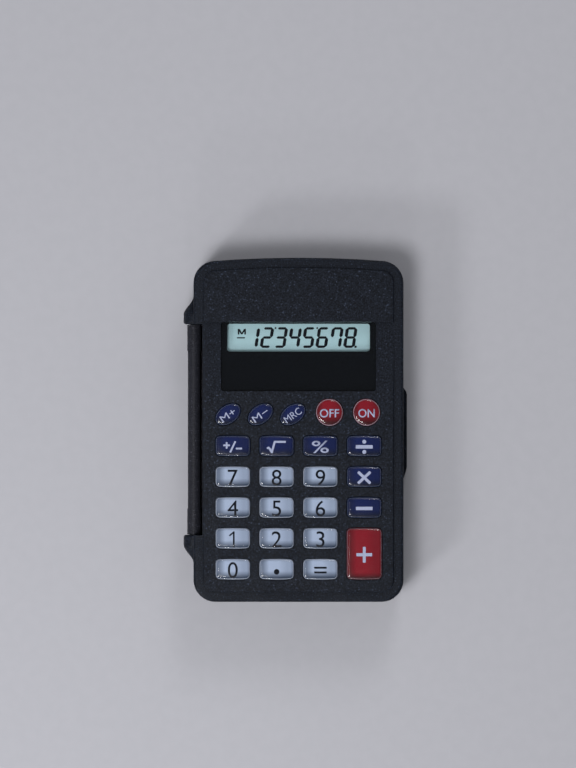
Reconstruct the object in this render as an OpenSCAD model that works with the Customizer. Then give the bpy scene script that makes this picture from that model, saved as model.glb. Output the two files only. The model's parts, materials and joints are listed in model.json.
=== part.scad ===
// Flip-cover pocket calculator: a two-part case with 24 sprung keys, a liquid-crystal display,
// one AAA cell behind a sliding door, and a cover that folds right round on a two-axis link.
// Frame: +X right, +Y towards the display, +Z out of the key face. The cover is folded behind
// the case, and its rim lies on Z = 0.

/* [Case] */
// Width of the case without its hinge bosses
body_w = 72; // [70:1:84]
// Length of the case, from the crowned top to the foot
body_l = 118; // [116:1:130]
// Thickness of the case, from its back to the rim that the cover shuts on
body_t = 13; // [12.8:0.1:15]
// Radius of the four corners seen from the front
corner_r = 7.5; // [6:0.5:10]
// How far the top edge falls from its middle to its ends
crown_drop = 1.7; // [1:0.1:3]
// Wall of both case halves
case_wall = 1.5; // [1.3:0.1:1.6]
// Width of the rim outside the raised key platform
rim_w = 3.4; // [3:0.1:4]
// Height of the key platform above the rim
platform_rise = 0.8; // [0.6:0.1:1]
// Wall that carries the platform
platform_wall = 0.5; // [0.4:0.1:0.8]
// Rounding of the platform's edge
platform_edge_r = 0.4; // [0.2:0.1:0.5]
// Rounding of the front edge
front_edge_r = 1.0; // [0.6:0.1:1.2]
// Rounding of the back edge
back_edge_r = 1.8; // [1:0.1:2]
// Depth and height of the shadow line between the case halves
seam = 0.25; // [0.15:0.05:0.4]

/* [Cover] */
// Thickness of the cover
cover_t = 5; // [4.9:0.1:6]
// Skirt wall of the cover
cover_wall = 1.8; // [1.5:0.1:2.2]
// Panel of the cover
cover_panel = 1.6; // [1.2:0.1:1.8]
// Length of the thumb tab where it is fully proud
tab_l = 26.4; // [20:0.2:34]
// How far the thumb tab stands out
tab_proud = 1.5; // [1:0.1:2.5]
// Thickness of the thumb tab
tab_t = 3.6; // [2.5:0.1:4]
// Middle of the thumb tab, below the middle of the case
tab_drop = 0.6; // [-5:0.1:5]

/* [Hinge] */
// Radius of the hinge bosses on the case
boss_r = 3.65; // [3.2:0.05:4]
// How far those bosses stand out of the case
boss_proud = 3.5; // [3:0.1:3.8]
// Radius of the hinge bosses on the cover
cover_boss_r = 2.2; // [1.9:0.05:2.3]
// Full-radius length of a boss
boss_l = 3.3; // [3.2:0.1:5]
// Length of the fairing from a boss back to the side
boss_fairing = 6.4; // [4:0.1:7]
// Rounding of a boss's inner edge
boss_round = 0.8; // [0.4:0.1:1]
// Radius of the link's knuckles
link_r = 2.4; // [2.1:0.05:2.4]
// Radius of the link between its knuckles
link_waist_r = 2.2; // [1.6:0.05:2.3]
// Length of one knuckle of the link
knuckle_l = 8.8; // [6:0.1:12]
// Length of the link
link_l = 72; // [60:1:76]
// Free play between an end of the link and a boss
end_play = 0.2; // [0.1:0.05:0.4]
// Gap between the link and the slot wall beside it
slot_gap = 0.5; // [0.4:0.05:1]
// Radius of the hinge pins
pin_r = 1.1; // [0.9:0.05:1.2]
// Length of a hinge pin
pin_l = 2.8; // [2.2:0.1:2.9]
// Radial clearance of the hinge pins
pin_fit = 0.05; // [0.03:0.01:0.08]

/* [Display] */
// Width of the clear area
view_w = 48.9; // [44:0.1:50]
// Height of the clear area
view_h = 9.5; // [8:0.1:10.5]
// Distance from the top of the lens to the middle of the clear area
view_drop = 5.3; // [5.2:0.1:6.5]
// Width of the lens
lens_w = 53; // [52:0.1:56]
// Length of the lens down its sloping seat
lens_l = 23.6; // [20:0.1:25]
// Thickness of the lens
lens_t = 1.2; // [1:0.1:1.3]
// Distance from the crown of the case to the top of the lens
header_l = 22.1; // [22:0.1:23]
// Corner radius of the lens
lens_r = 1; // [0.5:0.1:1.5]
// Play round the lens in its seat
lens_play = 0.1; // [0.05:0.05:0.2]
// Width of the lens seat's pad past the lens
pad_edge = 1.6; // [1.3:0.1:1.8]
// Thickness of that pad below the lens
pad_t = 1.2; // [1:0.1:1.3]
// How far the opening under the lens clears the clear area
view_margin = 0.6; // [0.4:0.1:0.8]
// Width of the display glass
glass_w = 52; // [51:0.1:52.5]
// Height of the front glass
glass_h = 14.5; // [14:0.1:15]
// Ledge of the front glass that the contact strip touches
glass_ledge = 2.6; // [2.4:0.1:3]
// Thickness of one pane of display glass
pane_t = 0.9; // [0.7:0.05:1]
// Thickness of a polarizing film
film_t = 0.2; // [0.1:0.05:0.25]
// Margin of the films inside the glass
film_margin = 0.5; // [0.3:0.1:0.7]
// Margin of the contact strip inside the ledge
strip_margin = 0.3; // [0.2:0.05:0.5]
// Wall round the display glass
lcd_wall = 1.2; // [1:0.1:1.4]
// Play round the display glass
lcd_play = 0.15; // [0.1:0.05:0.2]

/* [Keys] */
// Width of a rectangular key
key_w = 11.75; // [10:0.05:12]
// Height of a rectangular key
key_h = 7.1; // [6:0.05:7.5]
// Column pitch
pitch_x = 15; // [14.6:0.1:15.2]
// Row pitch
pitch_y = 10.55; // [10.2:0.05:10.7]
// Height of the upper row of rectangular keys above the middle of the case
first_row_y = -5.5; // [-6:0.1:-5]
// Width of the tall plus key
plus_w = 12; // [10:0.1:12.2]
// Diameter of the round keys
round_d = 9.2; // [8:0.1:9.6]
// Spacing of the two round keys
round_pitch = 12.7; // [11.5:0.1:13]
// Long axis of an oval key
oval_l = 9.6; // [8:0.1:10]
// Short axis of an oval key
oval_w = 6.2; // [5:0.1:6.6]
// Tilt of the oval keys
oval_tilt = 35; // [0:1:45]
// Spacing of the oval keys
oval_pitch = 11.1; // [10.9:0.1:11.3]
// Height of the oval keys above the first row
oval_rise = 10.8; // [10.7:0.1:11.5]
// Height of the round keys above the first row
round_rise = 11.5; // [11.3:0.1:12]
// Middle of the oval keys, left of the middle of the case
oval_middle = 13.05; // [12.9:0.05:14]
// Middle of the round keys, right of the middle of the case
round_middle = 16.95; // [16.5:0.05:18]
// How far the keys stand above the platform
key_proud = 1.5; // [1.2:0.1:1.7]
// Travel of a key
key_travel = 0.8; // [0.5:0.1:1]
// Gap round a key in its opening
key_gap = 0.25; // [0.2:0.05:0.35]
// Corner radius of a key
key_r = 1.5; // [1:0.1:2]
// Bulge of the upper and lower edges of a key
key_bulge = 0.25; // [0.1:0.05:0.4]
// Bevel round the top of a key
key_bevel = 0.9; // [0.5:0.1:1.1]
// Width of the flange that keeps a key in the case
flange_w = 0.6; // [0.5:0.05:0.7]
// Thickness of that flange
flange_t = 0.9; // [0.7:0.1:1]
// Length of the stem below the flange
stem_l = 0.8; // [0.7:0.1:1]
// Radius of that stem
stem_r = 2; // [1.5:0.1:2.1]

/* [Inside] */
// Thickness of the rubber keypad sheet
sheet_t = 0.8; // [0.6:0.1:1]
// Height of a rubber dome
dome_h = 1.8; // [1.6:0.1:2]
// Radius of a dome at the sheet
dome_r = 2.9; // [2.6:0.1:3]
// Wall of a dome at the sheet
dome_wall = 0.5; // [0.4:0.05:0.6]
// Radius of a carbon pill
pill_r = 1.7; // [1.3:0.1:1.8]
// Thickness of a carbon pill
pill_t = 0.35; // [0.3:0.05:0.5]
// Thickness of the circuit board
board_t = 1.2; // [1:0.1:1.3]
// Gap between the circuit board and the walls round it
board_play = 0.6; // [0.4:0.1:0.8]
// Radius of the board's posts
post_r = 1.7; // [1.5:0.05:1.75]
// Radius of the board screws
board_screw_r = 0.8; // [0.7:0.05:0.85]
// Grip of the board screws in their posts
board_screw_grip = 3; // [2:0.1:3.3]
// Radius of the board screws' heads
board_head_r = 1.5; // [1.2:0.1:1.8]
// Height of the board screws' heads
board_head_t = 0.8; // [0.5:0.1:0.9]
// Radius of the case screws
case_screw_r = 0.95; // [0.8:0.05:1]
// Length of the case screws under the head
case_screw_l = 8.5; // [7:0.1:9]
// Radius of the case screws' heads
screw_head_r = 1.9; // [1.7:0.05:2]
// Height of the case screws' heads
screw_head_t = 1.2; // [1:0.1:1.3]
// Clearance round a screw
screw_fit = 0.05; // [0.03:0.01:0.1]
// Radius of the capacitor
capacitor_r = 2; // [1.5:0.1:2.4]
// Length of the capacitor
capacitor_l = 6; // [4:0.1:8]
// Radius of the capacitor's wires
wire_r = 0.25; // [0.2:0.05:0.3]
// Distance of the capacitor from the middle of the case
capacitor_x = 14; // [8:0.5:18]
// Radius of the epoxy drop over the chip
chip_r = 5; // [4:0.1:6]
// Height of that drop
chip_t = 1.3; // [0.8:0.1:1.5]
// Length of a resistor
resistor_l = 1.6; // [1:0.1:2]
// Width of a resistor
resistor_w = 0.8; // [0.5:0.1:1]
// Height of a resistor
resistor_t = 0.5; // [0.4:0.1:0.6]
// Spacing of the resistors
resistor_pitch = 3.4; // [2.4:0.1:4]
// Drop of the resistors and the capacitor below the middle of the clear area
parts_drop = 3.5; // [3:0.1:5]

/* [Battery] */
// Diameter of the AAA cell
cell_d = 10.5; // [10.3:0.1:10.5]
// Length of the cell with its button
cell_l = 44.5; // [44:0.1:44.6]
// Distance of the cell's middle from the top edge
cell_inset = 8.5; // [8.2:0.1:9]
// Clearance between the cell and the door
cell_clear = 0.2; // [0.1:0.1:0.4]
// Room beside the cell in its bay
bay_play = 1.05; // [0.6:0.05:1.2]
// Radius of the cell's button
button_r = 1.9; // [1.7:0.1:1.9]
// Room for the compressed spring
spring_l = 3.3; // [3:0.1:4]
// Wire radius of the spring
spring_wire_r = 0.35; // [0.25:0.05:0.4]
// Turns of the spring
spring_turns = 3; // [2:0.5:4]
// Thickness of the contact plates
contact_t = 0.4; // [0.3:0.05:0.5]
// Thickness of the ribs round the cell
rib_t = 1.2; // [1:0.1:1.4]
// Thickness of the battery door
door_t = 1.4; // [1.2:0.1:1.4]
// Reach of the door's tongues into the case
tongue_w = 0.9; // [0.7:0.1:1]
// Thickness of the tongues
tongue_t = 0.6; // [0.5:0.1:0.7]
// Play round the door
door_play = 0.12; // [0.1:0.01:0.15]
// Length of the door's part that turns up round the top edge
lip_l = 3.8; // [3:0.1:4]
// Height of that part
lip_h = 4.2; // [3.5:0.1:5]
// Width of the finger grip across the door
grip_w = 14; // [8:1:20]
// Width of one groove of the finger grip
groove_w = 0.8; // [0.5:0.1:1]
// Depth of those grooves
groove_t = 0.3; // [0.2:0.1:0.4]
// Radius of the battery leads
lead_r = 0.5; // [0.35:0.05:0.55]

/* [Hidden] */
$fn = 48;

// How far a cutter runs past what it cuts, and how far joined forms run into each other
over = 1;
join = 0.1;

// Room past the end of a pin or a screw in its bore
bore_room = 0.3;

// Levels
cover_axis_z = cover_t / 2;
back_z = cover_t;
rim_z = back_z + body_t;
top_z = rim_z + platform_rise;
split_z = back_z + body_t / 2;
floor_z = back_z + case_wall;
rim_under_z = rim_z - case_wall;
plate_under_z = top_z - case_wall;
board_top_z = plate_under_z - flange_t - stem_l - dome_h - sheet_t;
board_under_z = board_top_z - board_t;

// Hinge
hinge_x = -(body_w / 2 + boss_proud - boss_r);
boss_face_y = link_l / 2 + end_play;
slot_x = hinge_x + link_r + slot_gap;
boss_tip_r = 0.25;

// The frame's X = 0 is midway between the outermost boss and the outermost tab
mid_x = (boss_proud - tab_proud) / 2;

// Display
lens_top_y = body_l / 2 - header_l;
fold_y = lens_top_y - sqrt(pow(lens_l, 2) - pow(platform_rise, 2));
lens_slope = asin(platform_rise / lens_l);
view_y = lens_top_y - view_drop;
lcd_stack_z = board_top_z + 2 * film_t + 2 * pane_t;
glass_low_y = view_y - (glass_h + glass_ledge) / 2;
pad_under_z = rim_z - lens_t - pad_t;

// Keys
plus_h = pitch_y + key_h;
stem_under_z = plate_under_z - flange_t - stem_l;
sheet_side = -slot_x - case_wall - board_play;
sheet_low_y = -body_l / 2 + rim_w + 1.2;

// Places of the board's posts and of the case screws
top_post_y = lens_top_y + 3.9;
screw_inset = 5;
top_screw_inset = [5.7, 8.5];
top_post_inset = [6.8, 5.2];
post_places = [
  [-pitch_x, row_y(0.5)], [pitch_x, row_y(0.5)], [-pitch_x, row_y(3.5)], [0, row_y(3.5)],
  [-body_w / 2 + top_post_inset[0], top_post_y], [body_w / 2 - top_post_inset[1], top_post_y]
];
screw_places = [
  for (sx = [-1, 1]) each [
    [sx * (body_w / 2 - screw_inset), -body_l / 2 + screw_inset],
    [sx * (body_w / 2 - top_screw_inset[0]), body_l / 2 - top_screw_inset[1]]
  ]
];
case_boss_r = 2.25;
head_sink = 0.3;
head_play = 0.2;
screw_seat_z = back_z + head_sink + screw_head_t;

// Battery bay
cell_r = cell_d / 2;
cell_z = floor_z + cell_clear + cell_r;
cell_y = body_l / 2 - cell_inset;
bay_half = (cell_l + spring_l) / 2;
bay_low_y = cell_y - cell_r - bay_play;
bay_wall_x = bay_half + contact_t;
door_half = bay_half + join;
door_sink = 0.1;
tongue_z = back_z + door_sink + door_t - tongue_t - join;
lip_y = body_l / 2 - lip_l;
strip_t = 0.8;
strip_w = 2.4;
contact_half = 4.4;
tab_play = 0.05;
tab_reach = 1.2;
tab_high_z = cell_z - 1.2;
tab_low_z = tab_high_z - 2.6;

function row_y(row) = first_row_y - row * pitch_y;
function column_x(column) = (column - 1.5) * pitch_x;

// Points of an arc about a centre, from one angle to another
function arc(centre, r, from, to, steps) =
  [for (i = [0:steps]) centre + r * [cos(from + (to - from) * i / steps),
                                      sin(from + (to - from) * i / steps)]];

// The upper half of a rounded outline whose top edge is an arc that falls by crown at its ends
function crown_r(w, crown) = (pow(w / 2, 2) + pow(crown, 2)) / (2 * crown);
function upper_half(w, h, r, crown, inset, steps) =
  let (
    big_r = crown > 0 ? crown_r(w, crown) : 0,
    side_x = w / 2 - r,
    side_y = crown > 0 ? h / 2 - big_r + sqrt(pow(big_r - r, 2) - pow(side_x, 2)) : h / 2 - r,
    turn = crown > 0 ? atan2(side_y - h / 2 + big_r, side_x) : 90,
    top = crown > 0 ? arc([0, h / 2 - big_r], big_r - inset, turn, 180 - turn, steps) : []
  )
  concat(
    arc([side_x, side_y], r - inset, 0, turn, steps),
    [for (i = [1:1:len(top) - 2]) top[i]],
    arc([-side_x, side_y], r - inset, 180 - turn, 180, steps)
  );

function body_outline(inset = 0) = concat(
  upper_half(body_w, body_l, corner_r, crown_drop, inset, 8),
  [for (p = upper_half(body_w, body_l, corner_r, 0, inset, 8)) -p]
);

function key_outline(w, h, inset = 0) =
  let (half = upper_half(w, h, key_r, key_bulge, inset, 4))
  concat(half, [for (p = half) -p]);

function lens_outline(play) =
  let (half = upper_half(lens_w + 2 * play, lens_l + 2 * play, lens_r, 0, 0, 4))
  concat(half, [for (p = half) -p]);

function oval_outline(inset = 0) =
  [for (a = [0:12:348]) [(oval_l / 2 - inset) * cos(a), (oval_w / 2 - inset) * sin(a)]];

// S-curve from 1 down to 0 as t goes from 0 to 1
function ease(t) = 1 - t * t * (3 - 2 * t);

module in_frame() translate([mid_x, 0, 0]) children();

// Solid through stacked outlines of equal point counts, given as [outline, height] from below
module loft(rings) {
  n = len(rings[0][0]);
  last = len(rings) - 1;
  polyhedron(
    points = [for (ring = rings, p = ring[0]) [p[0], p[1], ring[1]]],
    faces = concat(
      [[for (k = [0:n - 1]) k]],
      [for (i = [0:last - 1], k = [0:n - 1])
        let (a = i * n + k, b = i * n + (k + 1) % n) [a, a + n, b + n, b]],
      [[for (k = [n - 1:-1:0]) last * n + k]]
    )
  );
}

// Slab on the body outline with rounded lower and upper edges
module rounded_slab(low, high, low_r, high_r, inset = 0)
  loft(concat(
    [for (a = low_r > 0 ? [0:30:90] : [90])
      [body_outline(inset + low_r * (1 - sin(a))), low + low_r * (1 - cos(a))]],
    [for (a = high_r > 0 ? [0:30:90] : [90])
      [body_outline(inset + high_r * (1 - cos(a))), high - high_r * (1 - sin(a))]]
  ));

// Slot for the hinge link on the left side, grown by a wall for the inside of a shell
module link_slot(low, high, wall = 0)
  translate([-body_w, -boss_face_y - wall, low])
    cube([body_w + slot_x + wall, 2 * (boss_face_y + wall), high - low]);

// Round boss about a hinge axis, with its inner face at boss_face_y and a faired outer end
module hinge_boss(r) {
  steps = 10;
  rotate([-90, 0, 0]) rotate_extrude() polygon(concat(
    [[0, boss_face_y]],
    [for (a = [0:15:90]) [r - boss_round * (1 - sin(a)), boss_face_y + boss_round * (1 - cos(a))]],
    [for (i = [0:steps]) [boss_tip_r + (r - boss_tip_r) * ease(i / steps),
                          boss_face_y + boss_l + boss_fairing * i / steps]],
    [[0, boss_face_y + boss_l + boss_fairing]]
  ));
}

module both_ends() {
  children();
  mirror([0, 1, 0]) children();
}

module bosses(z, r) translate([hinge_x, 0, z]) both_ends() hinge_boss(r);

module boss_bores(z) translate([hinge_x, 0, z]) both_ends()
  translate([0, boss_face_y - over, 0]) rotate([-90, 0, 0])
    cylinder(h = pin_l - end_play + bore_room + over, r = pin_r + pin_fit);

// Children laid on the sloping display plane, whose origin is the fold line on the platform
module on_slope() translate([0, fold_y, top_z]) rotate([-lens_slope, 0, 0]) children();

// Lens blank, shared by the lens and its seat
module lens_blank(play, depth, rise = 0) on_slope()
  translate([0, lens_l / 2, -depth])
    linear_extrude(depth + rise) polygon(lens_outline(play));

module at_round(side)
  translate([round_middle + (side - 0.5) * round_pitch, first_row_y + round_rise, 0]) children();
module at_oval(place)
  translate([(place - 1) * oval_pitch - oval_middle, first_row_y + oval_rise, 0])
    rotate(oval_tilt) children();
module at_grid(column, row) translate([column_x(column), row_y(row), 0]) children();
module at_plus() at_grid(3, 3.5) children();

// A prism in every key's place: what a key's opening or flange needs, grown by grow
module key_prisms(grow, low, high) translate([0, 0, low]) {
  for (side = [0, 1]) at_round(side) cylinder(h = high - low, r = round_d / 2 + grow);
  for (place = [0:2]) at_oval(place)
    linear_extrude(high - low) polygon(oval_outline(-grow));
  for (row = [0:4], column = [0:3])
    if (column < 3 || row < 3) at_grid(column, row)
      linear_extrude(high - low) polygon(key_outline(key_w, key_h, -grow));
  at_plus() linear_extrude(high - low) polygon(key_outline(plus_w, plus_h, -grow));
}

// Centre of every key, for the domes and pills under them
module under_keys() {
  for (side = [0, 1]) at_round(side) children();
  for (place = [0:2]) at_oval(place) children();
  for (row = [0:4], column = [0:3])
    if (column < 3 || row < 3) at_grid(column, row) children();
  at_plus() children();
}

// Case

module front_case() color([0.09, 0.09, 0.1]) in_frame() difference() {
  union() {
    difference() {
      union() {
        rounded_slab(split_z, rim_z, 0, front_edge_r);
        rounded_slab(rim_under_z, top_z, 0, platform_edge_r, rim_w);
      }
      difference() {
        union() {
          translate([0, 0, split_z - over]) linear_extrude(rim_under_z - split_z + over)
            polygon(body_outline(case_wall));
          translate([0, 0, split_z]) linear_extrude(plate_under_z - split_z)
            polygon(body_outline(rim_w + platform_wall));
        }
        link_slot(split_z - 2 * over, top_z, case_wall);
      }
      link_slot(split_z - over, top_z + over);
    }
    intersection() {
      bosses(split_z, boss_r);
      translate([-body_w, -body_l, split_z]) cube([2 * body_w, 2 * body_l, body_t]);
    }
    translate([-lens_w / 2 - pad_edge, fold_y - pad_edge, pad_under_z])
      cube([lens_w + 2 * pad_edge, lens_l + 2 * pad_edge, plate_under_z - pad_under_z + join]);
    lcd_frame();
    for (p = post_places) translate([p[0], p[1], board_top_z])
      cylinder(h = plate_under_z - board_top_z + join, r = post_r);
    for (p = screw_places) translate([p[0], p[1], split_z])
      cylinder(h = rim_under_z - split_z + join, r = case_boss_r);
  }
  display_cuts();
  key_prisms(key_gap, plate_under_z - over, top_z + over);
  boss_bores(split_z);
  for (p = post_places) translate([p[0], p[1], board_top_z - over])
    cylinder(h = board_screw_grip + bore_room + over, r = board_screw_r + screw_fit);
  for (p = screw_places) translate([p[0], p[1], split_z - over])
    cylinder(h = screw_seat_z + case_screw_l - split_z + bore_room + over,
             r = case_screw_r + screw_fit);
}

// Wall that locates the display glass under the lens pad
module lcd_frame() {
  translate([0, 0, board_top_z + join]) linear_extrude(pad_under_z - board_top_z)
    difference() {
      glass_square(lcd_wall);
      glass_square(lcd_play);
    }
  translate([0, 0, lcd_stack_z]) linear_extrude(pad_under_z - lcd_stack_z + join)
    difference() {
      glass_square(lcd_wall / 2);
      view_square();
    }
}

module glass_square(edge) translate([-glass_w / 2 - edge, glass_low_y - edge])
  square([glass_w + 2 * edge, glass_h + 2 * edge]);

module view_square() translate([0, view_y])
  square([view_w + 2 * view_margin, view_h + 2 * view_margin], center = true);

// Sloping face of the display end, the lens seat in it and the opening under the lens
module display_cuts() {
  on_slope() translate([-body_w, 0, 0]) cube([2 * body_w, lens_l, 2 * platform_rise]);
  lens_blank(lens_play, lens_t, over);
  translate([0, 0, lcd_stack_z - over]) linear_extrude(top_z - lcd_stack_z) view_square();
}

module rear_case() color([0.09, 0.09, 0.1]) in_frame() difference() {
  union() {
    difference() {
      rounded_slab(back_z, split_z, back_edge_r, 0);
      difference() {
        translate([0, 0, floor_z]) linear_extrude(body_t) polygon(body_outline(case_wall));
        link_slot(back_z, split_z + over, case_wall);
      }
      link_slot(back_z - over, split_z + over);
      translate([0, 0, split_z - seam]) linear_extrude(seam + over) difference() {
        polygon(body_outline(-over));
        polygon(body_outline(seam));
      }
    }
    intersection() {
      bosses(split_z, boss_r);
      translate([-body_w, -body_l, back_z]) cube([2 * body_w, 2 * body_l, split_z - back_z]);
    }
    for (p = screw_places) translate([p[0], p[1], floor_z - join])
      cylinder(h = split_z - floor_z + join, r = case_boss_r);
    battery_bay();
  }
  battery_opening();
  boss_bores(split_z);
  for (p = screw_places) translate([p[0], p[1], back_z - over]) {
    cylinder(h = screw_seat_z - back_z + over, r = screw_head_r + head_play);
    cylinder(h = body_t, r = case_screw_r + 2 * screw_fit);
  }
}

// Ribs round the cell, and the thicker floor beside its opening that the door runs in
module battery_bay() {
  difference() {
    intersection() {
      translate([-door_half - strip_w, bay_low_y - strip_w, floor_z - join])
        cube([2 * (door_half + strip_w), body_l / 2, strip_t + join]);
      translate([0, 0, back_z]) linear_extrude(body_t) polygon(body_outline(0.5));
    }
    translate([-door_half + join, bay_low_y + join, back_z])
      cube([2 * (door_half - join), body_l, body_t]);
  }
  for (side = [-1, 1])
    translate([side * (bay_wall_x + rib_t / 2) - rib_t / 2, bay_low_y, floor_z])
      cube([rib_t, cell_d + rib_t, split_z - floor_z]);
  difference() {
    translate([-bay_wall_x - rib_t, bay_low_y - rib_t, floor_z])
      cube([2 * (bay_wall_x + rib_t), rib_t, split_z - floor_z]);
    for (side = [-1, 1])
      translate([side * (bay_half + contact_t / 2) - contact_t / 2 - tab_play,
                 bay_low_y - 2 * rib_t, tab_low_z - tab_play])
        cube([contact_t + 2 * tab_play, 3 * rib_t, body_t]);
  }
}

// Opening for the cell in the back and the end wall, with the grooves that hold the door
module battery_opening() {
  translate([-door_half, bay_low_y, back_z - over])
    cube([2 * door_half, body_l, case_wall + over + join]);
  translate([-door_half, lip_y - 2 * door_sink, back_z])
    cube([2 * door_half, body_l, lip_h + 2 * door_sink]);
  translate([-door_half - tongue_w - door_play, bay_low_y - tongue_w - door_play,
             tongue_z - door_play])
    cube([2 * (door_half + tongue_w + door_play), body_l, tongue_t + 2 * door_play]);
}

module battery_door() color([0.09, 0.09, 0.1]) in_frame() difference() {
  intersection() {
    union() {
      translate([-door_half + door_play, bay_low_y + door_play, back_z + door_sink])
        cube([2 * (door_half - door_play), body_l, door_t]);
      translate([-door_half - tongue_w, bay_low_y - tongue_w, tongue_z])
        cube([2 * (door_half + tongue_w), lip_y + tongue_w - bay_low_y + case_wall, tongue_t]);
      translate([-door_half + door_play, lip_y, back_z + door_sink])
        cube([2 * (door_half - door_play), body_l, lip_h]);
    }
    rounded_slab(back_z, split_z, back_edge_r, 0);
    difference() {
      translate([-body_w, 0, back_z]) cube([2 * body_w, body_l, body_t]);
      translate([0, 0, back_z + door_sink + door_t]) linear_extrude(body_t)
        polygon(body_outline(case_wall));
    }
  }
  for (i = [0:4]) translate([-grip_w / 2, cell_y - 1 + 2 * groove_w * i, back_z - over])
    cube([grip_w, groove_w, over + door_sink + groove_t]);
}

// Display

module display_window() color([0.1, 0.1, 0.11]) in_frame()
  lens_blank(0, lens_t);

// Film over the display glass, clear of its ledge
module film() translate([-glass_w / 2 + film_margin, glass_low_y + glass_ledge, 0])
  cube([glass_w - 2 * film_margin, glass_h - glass_ledge, film_t]);

module lcd_front_polarizer() color([0.72, 0.77, 0.7]) in_frame()
  translate([0, 0, lcd_stack_z - film_t]) film();

module lcd_front_glass() color([0.75, 0.8, 0.75]) in_frame()
  translate([-glass_w / 2, glass_low_y, lcd_stack_z - film_t - pane_t])
    cube([glass_w, glass_h, pane_t]);

module lcd_rear_glass() color([0.75, 0.8, 0.75]) in_frame()
  translate([-glass_w / 2, glass_low_y + glass_ledge, board_top_z + film_t])
    cube([glass_w, glass_h - glass_ledge, pane_t]);

module lcd_reflector() color([0.8, 0.82, 0.78]) in_frame()
  translate([0, 0, board_top_z]) film();

module contact_strip() color([0.85, 0.45, 0.6]) in_frame()
  translate([-glass_w / 2 + strip_margin, glass_low_y + strip_margin, board_top_z])
    cube([glass_w - 2 * strip_margin, glass_ledge - 2 * strip_margin, film_t + pane_t]);

// Electronics

module circuit_board() color([0.12, 0.35, 0.2]) in_frame() difference() {
  translate([0, 0, board_under_z]) linear_extrude(board_t) intersection() {
    polygon(body_outline(case_wall + board_play));
    translate([slot_x + case_wall + board_play, -body_l / 2])
      square([body_w, body_l / 2 + bay_low_y - rib_t - board_play]);
  }
  for (p = screw_places) translate([p[0], p[1], board_under_z - over])
    cylinder(h = board_t + 2 * over, r = case_boss_r + board_play);
  for (p = post_places) translate([p[0], p[1], board_under_z - over])
    cylinder(h = board_t + 2 * over, r = board_screw_r + 2 * screw_fit);
}

module chip_blob() color([0.05, 0.05, 0.05]) in_frame()
  translate([0, row_y(0), board_under_z]) rotate_extrude()
    polygon(concat([[0, 0]], [for (a = [0:10:90]) [chip_r * cos(a), -chip_t * sin(a)]]));

module board_capacitor() color([0.1, 0.12, 0.3]) in_frame()
  translate([capacitor_x, view_y - parts_drop, board_under_z - capacitor_r]) {
    rotate([0, 90, 0]) cylinder(h = capacitor_l, r = capacitor_r);
    for (side = [-1, 1]) translate([-capacitor_r, side * 0.3 * capacitor_r, 0]) {
      rotate([0, 90, 0]) cylinder(h = capacitor_r, r = wire_r);
      cylinder(h = capacitor_r, r = wire_r);
    }
  }

module board_resistors() color([0.08, 0.08, 0.09]) in_frame()
  for (i = [0:3])
    translate([-capacitor_x + (i - 1.5) * resistor_pitch, view_y - parts_drop,
               board_under_z - resistor_t / 2])
      cube([resistor_l, resistor_w, resistor_t], center = true);

module keypad_membrane() color([0.75, 0.76, 0.74]) in_frame() difference() {
  union() {
    translate([0, 0, board_top_z]) linear_extrude(sheet_t) difference() {
      translate([-sheet_side, sheet_low_y]) square([2 * sheet_side, fold_y - pad_edge - sheet_low_y]);
      for (p = post_places) translate(p) circle(r = post_r + bore_room);
      for (p = screw_places) translate(p) circle(r = case_boss_r + bore_room);
    }
    translate([0, 0, board_top_z + sheet_t]) under_keys()
      cylinder(h = dome_h, r1 = dome_r, r2 = stem_r + 0.2);
  }
  translate([0, 0, board_top_z - over]) under_keys() cylinder(h = over + join, r = dome_r - dome_wall);
  translate([0, 0, board_top_z]) under_keys()
    cylinder(h = key_travel + pill_t, r1 = dome_r - dome_wall, r2 = pill_r + 0.2);
}

// Pill under the roof of each dome, which meets the board when the key has travelled
module carbon_pills() color([0.03, 0.03, 0.03]) in_frame()
  translate([0, 0, board_top_z + key_travel]) under_keys() cylinder(h = pill_t, r = pill_r);

// Screws

// Cross-head screw with its head seat at Z = 0 and its shank along +Z
module screw(r, l, head_r, head_t) {
  cylinder(h = l, r = r);
  difference() {
    translate([0, 0, -head_t]) cylinder(h = head_t, r = head_r);
    for (turn = [0, 90]) rotate(turn)
      translate([-head_r * 0.6, -head_r * 0.12, -head_t - over])
        cube([head_r * 1.2, head_r * 0.24, over + head_t * 0.5]);
  }
}

module board_screws() color([0.6, 0.6, 0.58]) in_frame()
  for (p = post_places) translate([p[0], p[1], board_under_z])
    screw(board_screw_r, board_t + board_screw_grip, board_head_r, board_head_t);

module case_screws() color([0.6, 0.6, 0.58]) in_frame()
  for (p = screw_places) translate([p[0], p[1], screw_seat_z])
    screw(case_screw_r, case_screw_l, screw_head_r, screw_head_t);

// Battery

module battery() color([0.2, 0.2, 0.22]) in_frame()
  translate([bay_half - cell_l, cell_y, cell_z]) rotate([0, 90, 0]) rotate_extrude()
    polygon([
      [0, 0], [cell_r - 0.9, 0], [cell_r - 0.6, 0.3], [cell_r, 0.6], [cell_r, cell_l - 1.6],
      [cell_r - 0.6, cell_l - 1.2], [cell_r - 1, cell_l - 0.9], [button_r, cell_l - 0.9],
      [button_r, cell_l], [0, cell_l]
    ]);

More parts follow.
